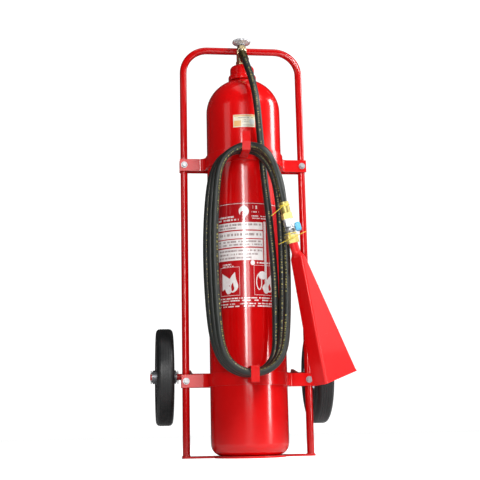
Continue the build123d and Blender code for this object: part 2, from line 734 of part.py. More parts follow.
def wrap_label(angle_from, angle_to, z_low, z_high):
    """A thin label on the cylinder, between two angles counted from +X."""
    shell = ring(CYL_R + LABEL_T, CYL_R, z_low, z_high)
    size = 4 * CYL_R
    corners = [(0, 0)]
    steps = 4
    for step in range(steps + 1):
        angle = math.radians(angle_from + (angle_to - angle_from) * step / steps)
        corners.append((size * math.cos(angle), size * math.sin(angle)))
    wedge = extrude(make_face(Polyline(*corners, close=True)), 1400)
    return shell & wedge


# ---- write every node --------------------------------------------------------------------

save("base_plate", make_base_plate())
save("frame_tube", make_frame_tube())
save("cylinder", make_cylinder())
save("neck_collar", make_neck_collar())

save("upper_clamp_front", clamp_half(UPPER_CLAMP_Z, FRONT_EAR_Y, -1))
save("upper_clamp_rear", clamp_half(UPPER_CLAMP_Z, REAR_EAR_Y, 1))
save("lower_clamp_front", clamp_half(LOWER_CLAMP_Z, FRONT_EAR_Y, -1))
save("lower_clamp_rear", clamp_half(LOWER_CLAMP_Z, REAR_EAR_Y, 1))
save("upper_hook", make_upper_hook())
save("lower_hook", make_lower_hook())
clamp_bolts, clamp_washers, clamp_nuts = make_fasteners()
save("clamp_bolts", clamp_bolts)
save("clamp_washers", clamp_washers)
save("clamp_nuts", clamp_nuts)

save("axle_brackets", make_axle_brackets())
save("axle", make_axle())
save("axle_washers", make_axle_washers())
save("cotter_pins", make_cotter_pins())
for wheel_name, wheel_side in (("left", -1), ("right", 1)):
    wheel_place = Pos(wheel_side * WHEEL_X, AXLE_Y, AXLE_Z)
    save(f"tyre_{wheel_name}", wheel_place * make_tyre())
    save(f"rim_{wheel_name}", wheel_place * make_rim())
    save(f"wheel_disc_{wheel_name}", wheel_place * make_wheel_disc())
    save(f"hub_{wheel_name}", wheel_place * make_hub())
    save(f"bush_{wheel_name}", wheel_place * make_bush())

save("valve_body", make_valve_body())
save("gland_nut", make_gland_nut())
save("spindle", make_spindle())
save("handwheel", make_handwheel())
save("handwheel_nut", make_handwheel_nut())
save("burst_disc_plug", make_burst_disc_plug())
save("dip_tube", make_dip_tube())

save("outlet_nut", make_outlet_nut())
save("outlet_elbow", make_outlet_elbow())
save("inlet_ferrule", make_inlet_ferrule())
save("hose", make_hose())
save("end_ferrule", make_end_ferrule())
save("union_nut", make_union_nut())
save("ball_valve_body", make_ball_valve_body())
save("valve_ball", make_valve_ball())
save("lever", make_lever())
save("lever_sleeve", make_lever_sleeve())
save("lever_nut", make_lever_nut())
save("horn_nut", make_horn_nut())
save("horn", make_horn())
save("seal_ties", make_seal_ties())

save("label_main", wrap_label(-147.0, -38.0, 424.0, 738.0))
save("label_small", wrap_label(-112.0, -79.0, 969.5, 1008.5))
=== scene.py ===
import math

import bpy
import bmesh
from mathutils import Matrix, Vector


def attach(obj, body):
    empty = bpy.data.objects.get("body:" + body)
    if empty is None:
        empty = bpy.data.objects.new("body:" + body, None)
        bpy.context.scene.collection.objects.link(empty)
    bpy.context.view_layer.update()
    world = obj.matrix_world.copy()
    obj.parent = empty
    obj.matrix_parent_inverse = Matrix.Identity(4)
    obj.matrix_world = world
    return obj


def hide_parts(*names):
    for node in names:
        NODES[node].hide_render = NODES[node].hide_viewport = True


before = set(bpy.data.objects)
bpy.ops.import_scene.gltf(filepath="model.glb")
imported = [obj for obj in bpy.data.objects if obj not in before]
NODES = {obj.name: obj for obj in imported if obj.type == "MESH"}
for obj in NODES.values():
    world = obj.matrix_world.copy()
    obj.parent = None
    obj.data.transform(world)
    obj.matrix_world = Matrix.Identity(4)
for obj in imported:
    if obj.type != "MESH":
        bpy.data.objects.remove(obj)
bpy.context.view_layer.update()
TROLLEY = "trolley"
MM = 0.001

# ---- camera ------------------------------------------------------------------------------

CAMERA_AT = Vector((-0.3484, -2.7842, 0.080))
CAMERA_YAW, CAMERA_PITCH, CAMERA_ROLL = 6.78, 11.42, 1.19
CAMERA_LENS = 70.4


def make_camera():
    yaw, pitch, roll = (math.radians(a) for a in (CAMERA_YAW, CAMERA_PITCH, CAMERA_ROLL))
    forward = Vector((math.sin(yaw) * math.cos(pitch), math.cos(yaw) * math.cos(pitch), math.sin(pitch)))
    right = Vector((math.cos(yaw), -math.sin(yaw), 0))
    up = right.cross(forward)
    cam_x = right * math.cos(roll) - up * math.sin(roll)
    cam_y = right * math.sin(roll) + up * math.cos(roll)
    camera = bpy.data.objects.new("camera", bpy.data.cameras.new("camera"))
    bpy.context.scene.collection.objects.link(camera)
    camera.data.lens = CAMERA_LENS
    camera.data.sensor_width = 36.0
    turn = Matrix((cam_x, cam_y, -forward)).transposed().to_4x4()
    camera.matrix_world = Matrix.Translation(CAMERA_AT) @ turn
    bpy.context.scene.camera = camera


make_camera()

# ---- the hose's route --------------------------------------------------------------------
# The same route as the CAD tube's: lead, three turns round the two hooks, run to the end.

HOSE_R = 10.5
OUTLET_Z = 1240.0
INLET_START = (-6.402, -45.552, OUTLET_Z)
INLET_LENGTH = 50.0
HOSE_END = (88.0, -191.0, 719.0)
HORN_TOP = (114.9, -178.6, 601.8)
LEAD_POINTS = [
    (8.0, -104.0, 1156.0), (14.0, -126.0, 1116.7), (20.7, -140.0, 1070.2),
    (25.5, -145.0, 1024.5), (30.1, -139.0, 970.4), (35.1, -130.5, 917.3), (39.8, -128.0, 853.2),
    (45.1, -127.5, 789.1), (52.6, -127.0, 719.5), (59.0, -128.0, 632.3), (64.2, -129.0, 549.1),
    (66.6, -129.0, 467.1),
]
INLET_DIR = (Vector(LEAD_POINTS[0]) - Vector(INLET_START)).normalized()
SET_DIR = (Vector(HORN_TOP) - Vector(HOSE_END)).normalized()
ARCH_TOP_Z = 889.0
ARCH_BOTTOM_Z = 234.0
LEFT_X = (-130.0, -120.0, -110.0)
LEFT_Y = (-135.0, -159.3, -183.6)
RIGHT_X = (66.0, 87.0, 98.0, 86.0)
RIGHT_Y = (-129.0, -137.0, -155.5, -184.0)
HOOK_Y = (-135.0, -159.3, -183.6)
TOP_X = (-20.0, -14.0, -8.0)
BOTTOM_X = (-16.0, -12.0, -6.0)
CROSSING_PUSH = 22.0
QUARTER_DROP = 138.0
HOSE_TURNS = 3
LEFT_RUN_Z = (505.0, 630.0)
RIGHT_RUN_Z = (625.0, 500.0)
END_RUN = 45.0
CORNER_R, CORNER_GROWTH = 44.0, 0.42
ARC_HALF_STEP = math.tan(math.radians(15))
HOSE_DECLARED = 5.06


def quarter_turn(middle_x, side_x, apex_z, side_y, hook_y, way, push):
    """Four points of a turn, from the run at a hook out to the side."""
    reach = abs(side_x - middle_x)
    sign = 1 if side_x > middle_x else -1
    corner_r = CORNER_R + CORNER_GROWTH * reach
    rows = (
        (ARC_HALF_STEP * corner_r, 0.0, 1.0, 0.25),
        ((1 - ARC_HALF_STEP) * corner_r, ARC_HALF_STEP * corner_r, 1.0, 1.0),
        (corner_r, (1 - ARC_HALF_STEP) * corner_r, 0.85, 0.8),
        ((corner_r + 2 * reach) / 3, QUARTER_DROP, 0.35, 0.3),
    )
    points = []
    for out, drop, hook_share, push_share in rows:
        y = side_y + (hook_y - side_y) * hook_share - push * push_share
        points.append((middle_x + sign * out, y, apex_z + way * drop))
    return points


# The way down from the upper hook, over the lead. Each row is the share of the reach, the drop,
# and the shares of the hook's depth and of the push.
OVER_THE_LEAD = (
    (0.15, 0.0, 1.0, 0.25), (0.40, 12.0, 1.0, 0.9), (0.66, 42.0, 0.95, 1.0), (0.85, 90.0, 0.6, 0.6),
    (0.95, 150.0, 0.3, 0.3),
)


def down_over_lead(middle_x, side_x, apex_z, side_y, hook_y):
    """Five points of a slack diagonal from the upper hook down to the right-hand side."""
    points = []
    for out, drop, hook_share, push_share in OVER_THE_LEAD:
        y = side_y + (hook_y - side_y) * hook_share - CROSSING_PUSH * push_share
        points.append((middle_x + (side_x - middle_x) * out, y, apex_z - drop))
    return points


def hose_points():
    points = [tuple(Vector(INLET_START) + INLET_DIR * INLET_LENGTH)]
    points += LEAD_POINTS
    for turn in range(HOSE_TURNS):
        hook_y = HOOK_Y[turn]
        left = (LEFT_X[turn], LEFT_Y[turn])
        points += reversed(quarter_turn(
            BOTTOM_X[turn], RIGHT_X[turn], ARCH_BOTTOM_Z, RIGHT_Y[turn], hook_y, 1, 0.0
        ))
        points += quarter_turn(BOTTOM_X[turn], left[0], ARCH_BOTTOM_Z, left[1], hook_y, 1, 0.0)
        low, high = LEFT_RUN_Z
        points += [(left[0] - 1.0, left[1], low), (left[0] - 1.5, left[1], high)]
        points += reversed(quarter_turn(TOP_X[turn], left[0], ARCH_TOP_Z, left[1], hook_y, -1, 0.0))
        last_turn = turn == HOSE_TURNS - 1
        right = (RIGHT_X[turn + 1], RIGHT_Y[turn + 1])
        down = down_over_lead(TOP_X[turn], right[0], ARCH_TOP_Z, right[1], hook_y)
        points += down[:4] if last_turn else down
        if not last_turn:
            high, low = RIGHT_RUN_Z
            points += [(right[0] + 0.5, right[1], high), (right[0] + 1.0, right[1], low)]
    points.append(tuple(Vector(HOSE_END) - SET_DIR * END_RUN))
    points.append(HOSE_END)
    return [Vector(point) * MM for point in points]


def make_hose():
    points = hose_points()
    data = bpy.data.curves.new("hose_line", "CURVE")
    data.dimensions = "3D"
    spline = data.splines.new("NURBS")
    spline.points.add(len(points) - 1)
    for place, point in zip(spline.points, points):
        place.co = (*point, 1.0)
        place.radius = HOSE_R * MM
    spline.order_u = 3
    spline.use_endpoint_u = True
    spline.resolution_u = 10
    # A curve's box stands out from its points by their radius, so the radius is the hose's own.
    data.bevel_depth = 1.0
    data.bevel_resolution = 8
    data.use_fill_caps = True
    hose = bpy.data.objects.new("hose_rubber", data)
    bpy.context.scene.collection.objects.link(hose)
    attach(hose, TROLLEY)
    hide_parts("hose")
    return hose


hose = make_hose()

# ---- node materials ----------------------------------------------------------------------


class Look:
    """A node material being built round one Principled shader."""

    def __init__(self, name, colour, **numbers):
        self.material = bpy.data.materials.new(name)
        self.material.use_nodes = True
        self.tree = self.material.node_tree
        self.shader = self.tree.nodes["Principled BSDF"]
        self.shader.inputs["Base Color"].default_value = (*colour, 1.0)
        for socket, value in numbers.items():
            self.shader.inputs[socket.replace("_", " ")].default_value = value
        self.height = None
        self.places = {}

    def put(self, socket, value):
        if hasattr(value, "links"):
            self.tree.links.new(value, socket)
        elif isinstance(value, (tuple, list)) and len(value) == 3 and socket.type == "RGBA":
            socket.default_value = (*value, 1.0)
        else:
            socket.default_value = value

    def node(self, kind, inputs=None, **settings):
        made = self.tree.nodes.new(kind)
        for name, value in settings.items():
            setattr(made, name, value)
        for name, value in (inputs or {}).items():
            self.put(made.inputs[name], value)
        return made

    def place(self, which="Object", stretch=None):
        """A coordinate, stretched if asked."""
        key = (which, stretch)
        if key not in self.places:
            socket = self.node("ShaderNodeTexCoord").outputs[which]
            if stretch:
                socket = self.node("ShaderNodeMapping", {"Vector": socket, "Scale": stretch}).outputs[0]
            self.places[key] = socket
        return self.places[key]

    def math(self, operation, a, b=0.0):
        return self.node("ShaderNodeMath", {0: a, 1: b}, operation=operation).outputs[0]

    def both(self, a, b):
        return self.math("MULTIPLY", a, b)

    def band(self, value, low, high):
        """1 between two limits and 0 elsewhere."""
        return self.both(self.math("GREATER_THAN", value, low), self.math("LESS_THAN", value, high))

    def noise(self, scale, detail=3.0, roughness=0.5, stretch=None, where=None):
        vector = where if where is not None else self.place("Object", stretch)
        inputs = {"Vector": vector, "Scale": scale, "Detail": detail, "Roughness": roughness}
        return self.node("ShaderNodeTexNoise", inputs).outputs["Fac"]

    def span(self, value, low, high, out_low=0.0, out_high=1.0):
        """Map a value between two limits, clamped."""
        inputs = {0: value, 1: low, 2: high, 3: out_low, 4: out_high}
        return self.node("ShaderNodeMapRange", inputs).outputs[0]

    def mix(self, share, a, b):
        made = self.node("ShaderNodeMix", data_type="RGBA")
        self.put(made.inputs[0], share)
        self.put(made.inputs[6], a)
        self.put(made.inputs[7], b)
        return made.outputs[2]

    def colour(self, value):
        self.put(self.shader.inputs["Base Color"], value)

    def rough(self, value):
        self.put(self.shader.inputs["Roughness"], value)

    def raise_by(self, value, strength):
        """Add to the surface's height."""
        part = self.math("MULTIPLY", value, strength)
        self.height = part if self.height is None else self.math("ADD", self.height, part)

    def finish(self, distance=0.001):
        if self.height is not None:
            inputs = {"Height": self.height, "Distance": distance, "Strength": 1.0}
            bump = self.node("ShaderNodeBump", inputs)
            self.put(self.shader.inputs["Normal"], bump.outputs[0])
        return self.material

    def worn_edge(self, radius, low=0.02, high=0.10):
        """1 on sharp edges, broken up by noise, and 0 elsewhere."""
        soft = self.node("ShaderNodeBevel", {"Radius": radius}, samples=4).outputs[0]
        plain = self.node("ShaderNodeNewGeometry").outputs["Normal"]
        made = self.node("ShaderNodeVectorMath", {0: soft, 1: plain}, operation="DOT_PRODUCT")
        edge = self.math("SUBTRACT", 1.0, made.outputs["Value"])
        broken = self.math("MULTIPLY", edge, self.span(self.noise(180.0, 5.0, 0.7), 0.42, 0.62))
        return self.span(broken, low, high)


RED = (0.64, 0.0012, 0.0018)
RED_DEEP = (0.56, 0.0008, 0.0012)
RED_BRIGHT = (0.72, 0.0016, 0.0024)


def enamel(name, peel=0.05, waves=0.08, wear=True, deep=RED_DEEP, bright=RED_BRIGHT, rough=(0.13, 0.26)):
    """Sprayed gloss enamel: orange peel, faint dust and smears, primer showing on sharp edges."""
    look = Look(name, RED, Coat_Weight=0.3, Coat_Roughness=0.06, IOR=1.47)
    cloud = look.noise(3.2, 4.0, 0.6)
    speck = look.noise(60.0, 4.0, 0.6)
    colour = look.mix(look.span(cloud, 0.3, 0.7), deep, bright)
    dust = look.span(look.noise(9.0, 6.0, 0.65, stretch=(1, 1, 0.35)), 0.58, 0.85, 0.0, 0.012)
    colour = look.mix(dust, colour, (0.50, 0.22, 0.18))
    mottle = look.math("ADD", cloud, look.math("MULTIPLY", speck, 0.35))
    roughness = look.span(mottle, 0.45, 0.85, *rough)
    if wear:
        chips = look.worn_edge(0.0012)
        colour = look.mix(look.math("MULTIPLY", chips, 0.75), colour, (0.16, 0.10, 0.085))
        roughness = look.math("ADD", roughness, look.math("MULTIPLY", chips, 0.35))
    look.colour(colour)
    look.rough(roughness)
    look.raise_by(look.noise(300.0, 1.0, 0.4), peel)
    look.raise_by(look.noise(36.0, 2.0, 0.5), waves)
    return look.finish(0.0006)


def metal(name, colour, second, rough=(0.18, 0.34), scale=40.0, stretch=None, grain=0.05):
    """A bare or plated metal with a fine grain, stains and duller patches."""
    look = Look(name, colour, Metallic=1.0)
    cloud = look.noise(scale, 4.0, 0.6, stretch=stretch)
    stain = look.noise(scale * 0.3, 5.0, 0.7)
    base = look.mix(look.span(cloud, 0.3, 0.7), colour, second)
    dark = tuple(c * 0.35 for c in colour)
    base = look.mix(look.span(stain, 0.56, 0.78, 0.0, 0.45), base, dark)
    look.colour(base)
    look.rough(look.span(look.math("ADD", cloud, stain), 0.7, 1.3, *rough))
    look.raise_by(look.noise(scale * 16, 2.0, 0.5, stretch=stretch), grain)
    return look.finish(0.0004)


def plastic(name, colour, second, rough=(0.25, 0.4), coat=0.2, sub=0.0):
    look = Look(name, colour, Coat_Weight=coat, Coat_Roughness=0.15, Subsurface_Weight=sub)
    look.shader.inputs["Subsurface Radius"].default_value = (0.004, 0.003, 0.002)
    cloud = look.noise(90.0, 4.0, 0.6)
    look.colour(look.mix(look.span(cloud, 0.3, 0.7), colour, second))
    look.rough(look.span(look.noise(240.0, 3.0, 0.5), 0.3, 0.7, *rough))
    look.raise_by(look.noise(900.0, 2.0, 0.5), 0.03)
    return look.finish(0.0004)


def hose_rubber():
    """Satin rubber with a cloth-wrapped skin and a broken line of yellow print."""
    look = Look("hose_rubber", (0.02, 0.021, 0.019), IOR=1.5)
    sides = look.node("ShaderNodeSeparateXYZ", {0: look.place("UV")})
    along = look.math("MULTIPLY", sides.outputs[0], HOSE_DECLARED / MM)
    around = sides.outputs[1]
    cloud = look.noise(26.0, 5.0, 0.65)
    fine = look.noise(700.0, 3.0, 0.6)
    base = look.mix(look.span(cloud, 0.3, 0.72), (0.006, 0.008, 0.007), (0.018, 0.022, 0.018))
    dust = look.span(look.noise(110.0, 5.0, 0.7), 0.58, 0.76, 0.0, 0.22)
    base = look.mix(dust, base, (0.09, 0.095, 0.075))
    # the print: short strokes of uneven length on a thin line along the hose
    line = look.math("LESS_THAN", look.math("ABSOLUTE", look.math("SUBTRACT", around, 0.25)), 0.034)
    line2 = look.math("LESS_THAN", look.math("ABSOLUTE", look.math("SUBTRACT", around, 0.75)), 0.034)
    lines = look.math("MAXIMUM", line, line2)
    where = look.node("ShaderNodeCombineXYZ", {0: along, 1: 0.0, 2: 0.0}).outputs[0]
    strokes = look.math("GREATER_THAN", look.noise(0.26, 1.0, 0.5, where=where), 0.52)
    groups = look.math("GREATER_THAN", look.noise(0.018, 0.0, 0.5, where=where), 0.38)
    rubbed = look.span(look.noise(260.0, 4.0, 0.7), 0.42, 0.60, 0.05, 0.95)
    ink = look.both(look.both(lines, strokes), look.both(groups, rubbed))
    look.colour(look.mix(ink, base, (0.62, 0.52, 0.12)))
    look.rough(look.span(cloud, 0.3, 0.7, 0.34, 0.50))
    weave_a = look.math("SINE", look.math("MULTIPLY", along, 2.4))
    weave_b = look.math("SINE", look.math("MULTIPLY", around, 150.0))
    look.raise_by(look.math("MULTIPLY", weave_a, weave_b), 0.05)
    look.raise_by(fine, 0.10)
    return look.finish(0.0005)


WHEEL_Y, WHEEL_Z = 0.185, 0.2455
TREAD_FROM_R = 0.1455
RIB_BAND = (0.132, 0.140)
RING_BAND = (0.104, 0.112)


def tyre_rubber():
    """Moulded tyre rubber with ribbed sidewalls and dust in the tread."""
    look = Look("tyre_rubber", (0.02, 0.02, 0.021), IOR=1.5)
    sides = look.node("ShaderNodeSeparateXYZ", {0: look.place("Object")})
    y = look.math("SUBTRACT", sides.outputs[1], WHEEL_Y)
    z = look.math("SUBTRACT", sides.outputs[2], WHEEL_Z)
    radius = look.math("SQRT", look.math("ADD", look.both(y, y), look.both(z, z)))
    turn = look.math("ARCTAN2", y, z)
    cloud = look.noise(14.0, 5.0, 0.65)
    base = look.mix(look.span(cloud, 0.3, 0.7), (0.006, 0.007, 0.008), (0.016, 0.017, 0.018))
    tread = look.math("GREATER_THAN", radius, TREAD_FROM_R)
    dust = look.span(look.noise(45.0, 6.0, 0.7), 0.50, 0.76, 0.0, 0.35)
    dust = look.both(dust, look.span(tread, 0, 1, 0.25, 1.0))
    base = look.mix(dust, base, (0.06, 0.055, 0.05))
    look.colour(base)
    look.rough(look.span(cloud, 0.3, 0.7, 0.34, 0.50))
    ribs = look.math("SINE", look.math("MULTIPLY", turn, 180.0))
    wall = look.band(radius, *RIB_BAND)
    look.raise_by(look.math("MULTIPLY", ribs, wall), 0.35)
    rings = look.math("SINE", look.math("MULTIPLY", radius, 2400.0))
    ring_zone = look.band(radius, *RING_BAND)
    look.raise_by(look.math("MULTIPLY", rings, ring_zone), 0.3)
    look.raise_by(look.noise(500.0, 3.0, 0.6), 0.12)
    return look.finish(0.001)


# ---- printed labels ----------------------------------------------------------------------

CYL_R = 114.5
ROW_SEED = 37.0


class Print:
    """Flat shapes printed on the cylinder: u is millimetres round from the front, v is height."""

    def __init__(self, look):
        self.look = look
        sides = look.node("ShaderNodeSeparateXYZ", {0: look.place("Object")})
        back = look.math("MULTIPLY", sides.outputs[1], -1.0)
        angle = look.math("ARCTAN2", sides.outputs[0], back)
        self.u = look.math("MULTIPLY", angle, CYL_R)
        self.v = look.math("MULTIPLY", sides.outputs[2], 1000.0)

    def rect(self, left, right, low, high):
        return self.look.both(self.look.band(self.u, left, right), self.look.band(self.v, low, high))

    def frame(self, left, right, low, high, line):
        inner = self.rect(left + line, right - line, low + line, high - line)
        return self.look.math("SUBTRACT", self.rect(left, right, low, high), inner)

    def oval(self, u, v, half_u, half_v, lean=0.0):
        look = self.look
        from_v = look.math("SUBTRACT", self.v, v)
        from_u = look.math("SUBTRACT", self.u, u)
        from_u = look.math("SUBTRACT", from_u, look.math("MULTIPLY", from_v, lean))
        a = look.math("POWER", look.math("ABSOLUTE", look.math("DIVIDE", from_u, half_u)), 2.0)
        b = look.math("POWER", look.math("ABSOLUTE", look.math("DIVIDE", from_v, half_v)), 2.0)
        return look.math("LESS_THAN", look.math("ADD", a, b), 1.0)

    def flame(self, u, v, half_u, height, lean=0.0):
        """A pointed drop: wide low down, narrowing to a tip."""
        look = self.look
        share = look.span(self.v, v, v + height)
        swell = look.math("MULTIPLY", look.math("POWER", share, 0.55), look.math("SUBTRACT", 1.0, share))
        width = look.math("MULTIPLY", swell, half_u * 2.1)
        wave = look.math("MULTIPLY", look.math("SINE", look.math("MULTIPLY", share, 7.0)), half_u * 0.16)
        middle = look.math("ADD", look.math("MULTIPLY", share, lean), look.math("ADD", wave, u))
        off = look.math("ABSOLUTE", look.math("SUBTRACT", self.u, middle))
        return look.both(look.math("LESS_THAN", off, width), look.band(self.v, v, v + height))

    def cone(self, u_tip, u_wide, v, half_v):
        """A fan that opens from its tip towards one side."""
        look = self.look
        sides = sorted((u_tip, u_wide))
        share = look.span(self.u, *sides)
        if u_wide < u_tip:
            share = look.math("SUBTRACT", 1.0, share)
        off = look.math("ABSOLUTE", look.math("SUBTRACT", self.v, v))
        inside = look.math("LESS_THAN", off, look.math("MULTIPLY", share, half_v))
        return look.both(inside, look.band(self.u, *sides))

    def strokes(self, left, right, low, high, seed, fine=0.55):
        """A row of blocks of uneven length, standing for a line of print."""
        look = self.look
        where = look.node("ShaderNodeCombineXYZ", {0: self.u, 1: seed * ROW_SEED, 2: 0.0}).outputs[0]
        words = look.math("GREATER_THAN", look.noise(fine * 0.35, 0.0, 0.5, where=where), 0.40)
        ticks = look.math("GREATER_THAN", look.noise(fine * 2.2, 1.0, 0.5, where=where), 0.40)
        return look.both(self.rect(left, right, low, high), look.both(words, ticks))

    def any(self, *shapes):
        total = shapes[0]
        for shape in shapes[1:]:
            total = self.look.math("MAXIMUM", total, shape)
        return total


LABEL_RED = (0.50, 0.004, 0.008)
LABEL_WHITE = (0.90, 0.86, 0.85)
PRINT_GREY = (0.20, 0.10, 0.10)


def main_label():
    """A red film with pale panels, rows of strokes and two plain pictograms."""
    look = Look("label_main_print", LABEL_RED, Coat_Weight=0.6, Coat_Roughness=0.06)
    ink = Print(look)
    left, right = -106.0, 37.5
    panels = ink.any(
        ink.rect(left, right, 655, 677), ink.rect(left, right, 629, 651),
        ink.rect(left, right, 604, 626), ink.rect(left, right, 564, 600),
    )
    dark = ink.any(
        ink.strokes(left + 6, right - 4, 667, 673, 1), ink.strokes(left + 6, -42, 658.5, 663, 2),
        ink.strokes(left + 6, right - 4, 637, 644, 3),
        ink.strokes(left + 6, right - 4, 617, 622, 4), ink.strokes(left + 6, right - 4, 608, 613, 5),
        ink.strokes(left + 6, right - 4, 590, 595, 6),
        ink.strokes(left + 6, right - 16, 579.5, 584.5, 7),
        ink.strokes(left + 6, 2, 569, 574, 8),
    )
    pale = ink.any(
        ink.rect(-106, 97, 733.2, 734.4),
        ink.oval(-18, 710, 15, 16), ink.strokes(5, 27, 717, 727, 9, 0.4),
        ink.strokes(5, 27, 706, 710, 10),
        ink.strokes(4, 62, 694, 697, 11), ink.strokes(4, 58, 687, 690, 12),
        ink.strokes(-104, -34, 683, 688, 13), ink.strokes(-104, -48, 692, 697, 14),
        ink.frame(-96, -34, 461, 545, 0.9), ink.frame(8, 74, 461, 549, 0.9),
        ink.strokes(-88, -58, 551, 555, 15), ink.strokes(-88, -52, 545.8, 548.5, 16),
        ink.oval(5, 556, 6.5, 7.5), ink.strokes(17, 60, 554, 558, 17),
        ink.cone(-52, -90, 502, 26), ink.flame(-56, 470, 17, 60, 6), ink.flame(-70, 466, 13, 38, -4),
        ink.oval(34, 519, 13, 12), ink.flame(56, 470, 16, 52, 5), ink.flame(44, 466, 12, 30, -3),
        look.math("SUBTRACT", ink.oval(23, 500, 9, 24), ink.oval(23, 500, 6.4, 20.5)),
        ink.strokes(-98, 90, 451, 454.5, 18), ink.strokes(-98, 82, 444, 447.5, 19),
        ink.strokes(-98, 90, 434.5, 438, 20), ink.strokes(-98, 76, 427.5, 431, 21),
        ink.strokes(41, 48, 470, 680, 22, 0.3),
    )
    hole = ink.any(ink.oval(-22, 702, 7, 9), ink.flame(-57, 474, 6, 26, 2), ink.flame(56, 474, 6, 22, 2))
    pale = look.math("MULTIPLY", pale, look.math("SUBTRACT", 1.0, hole))
    rub = look.span(look.noise(70.0, 5.0, 0.7), 0.30, 0.60, 0.82, 1.0)
    film = look.mix(look.span(look.noise(5.0), 0.3, 0.7), LABEL_RED, tuple(c * 0.86 for c in LABEL_RED))
    colour = look.mix(look.math("MULTIPLY", look.math("MAXIMUM", panels, pale), rub), film, LABEL_WHITE)
    colour = look.mix(look.math("MULTIPLY", dark, look.math("MULTIPLY", rub, 0.8)), colour, PRINT_GREY)
    look.colour(colour)
    look.rough(look.span(look.noise(24.0, 5.0, 0.6), 0.3, 0.7, 0.12, 0.24))
    look.raise_by(look.noise(300.0, 2.0), 0.03)
    look.raise_by(look.noise(20.0, 2.0), 0.15)
    return look.finish(0.0006)


def small_label():
    """A pale sticker with a coloured corner and rows of strokes."""
    look = Look("label_small_print", (0.80, 0.76, 0.60), Coat_Weight=0.4, Coat_Roughness=0.1)
    ink = Print(look)
    cloud = look.span(look.noise(28.0, 3.0, 0.6), 0.3, 0.7)
    sheen = look.mix(cloud, (0.82, 0.80, 0.70), (0.74, 0.66, 0.40))
    orange = ink.any(ink.rect(-42, -20, 972, 990), ink.rect(-42, 24, 1003, 1006.5))
    sheen = look.mix(look.math("MULTIPLY", orange, 0.75), sheen, (0.78, 0.36, 0.06))
    blue = ink.oval(12, 986, 8, 9)
    sheen = look.mix(look.math("MULTIPLY", blue, 0.6), sheen, (0.45, 0.55, 0.62))
    rows = ink.any(
        ink.strokes(-36, 18, 997.5, 1000, 31), ink.strokes(-16, 2, 990, 992.5, 32),
        ink.strokes(-16, 2, 984, 986.5, 33), ink.strokes(-16, 18, 974, 976.5, 34),
    )
    look.colour(look.mix(look.math("MULTIPLY", rows, 0.75), sheen, (0.22, 0.20, 0.20)))
    look.rough(look.span(look.noise(50.0, 4.0), 0.3, 0.7, 0.16, 0.30))
    look.raise_by(look.noise(300.0, 2.0), 0.03)
    return look.finish(0.0005)


# ---- give every CAD node its material ----------------------------------------------------

red_shell = enamel("red_shell", peel=0.02, wear=False, rough=(0.13, 0.22))
# The tube's enamel is a darker copy of the frame's red: painted shade, standing in for the tube's darker
# look, not a different paint.
red_tube_painted_shade = enamel("red_tube_painted_shade", peel=0.0, waves=0.0, wear=False, rough=(0.13, 0.18),
                  deep=(0.46, 0.0006, 0.0010), bright=(0.56, 0.0010, 0.0016))
red_frame = enamel("red_frame", peel=0.02, rough=(0.16, 0.28))
red_horn = enamel("red_horn", peel=0.02, waves=0.04, wear=False, deep=(0.74, 0.0010, 0.002),
                  bright=(0.86, 0.0016, 0.003), rough=(0.30, 0.38))
steel = metal("zinc_steel", (0.50, 0.51, 0.52), (0.38, 0.39, 0.41), rough=(0.34, 0.50), grain=0.02)
cast_grey = metal("cast_grey", (0.62, 0.62, 0.64), (0.46, 0.46, 0.48), rough=(0.40, 0.55), grain=0.06)
cast_grey.node_tree.nodes["Principled BSDF"].inputs["Metallic"].default_value = 0.35
brass = metal("cast_brass", (0.86, 0.72, 0.46), (0.72, 0.56, 0.30), rough=(0.24, 0.38), grain=0.12)
# The inlet ferrule's olive-brown is yellow zinc darkened as painted shade: the ferrule stands in shadow.
yellow_zinc_painted_shade = metal("yellow_zinc_painted_shade", (0.24, 0.19, 0.08), (0.15, 0.12, 0.06), rough=(0.26, 0.40), scale=60.0)
zinc_yellow = metal("yellow_zinc", (0.66, 0.52, 0.15), (0.52, 0.45, 0.17), rough=(0.34, 0.48),
                    scale=60.0)
drawn_tube = metal("drawn_aluminium", (0.70, 0.71, 0.73), (0.60, 0.61, 0.63), stretch=(8, 8, 0.3))
wheel_paint = metal("wheel_grey", (0.34, 0.35, 0.37), (0.26, 0.27, 0.29), rough=(0.32, 0.48))
blue_grip = plastic("blue_grip", (0.10, 0.52, 0.80), (0.08, 0.44, 0.72), coat=0.4)
yellow_tie = plastic("yellow_tie", (0.90, 0.70, 0.06), (0.80, 0.60, 0.05), sub=0.15)
ball_steel = metal("ball_steel", (0.72, 0.73, 0.75), (0.66, 0.67, 0.69), rough=(0.08, 0.14))

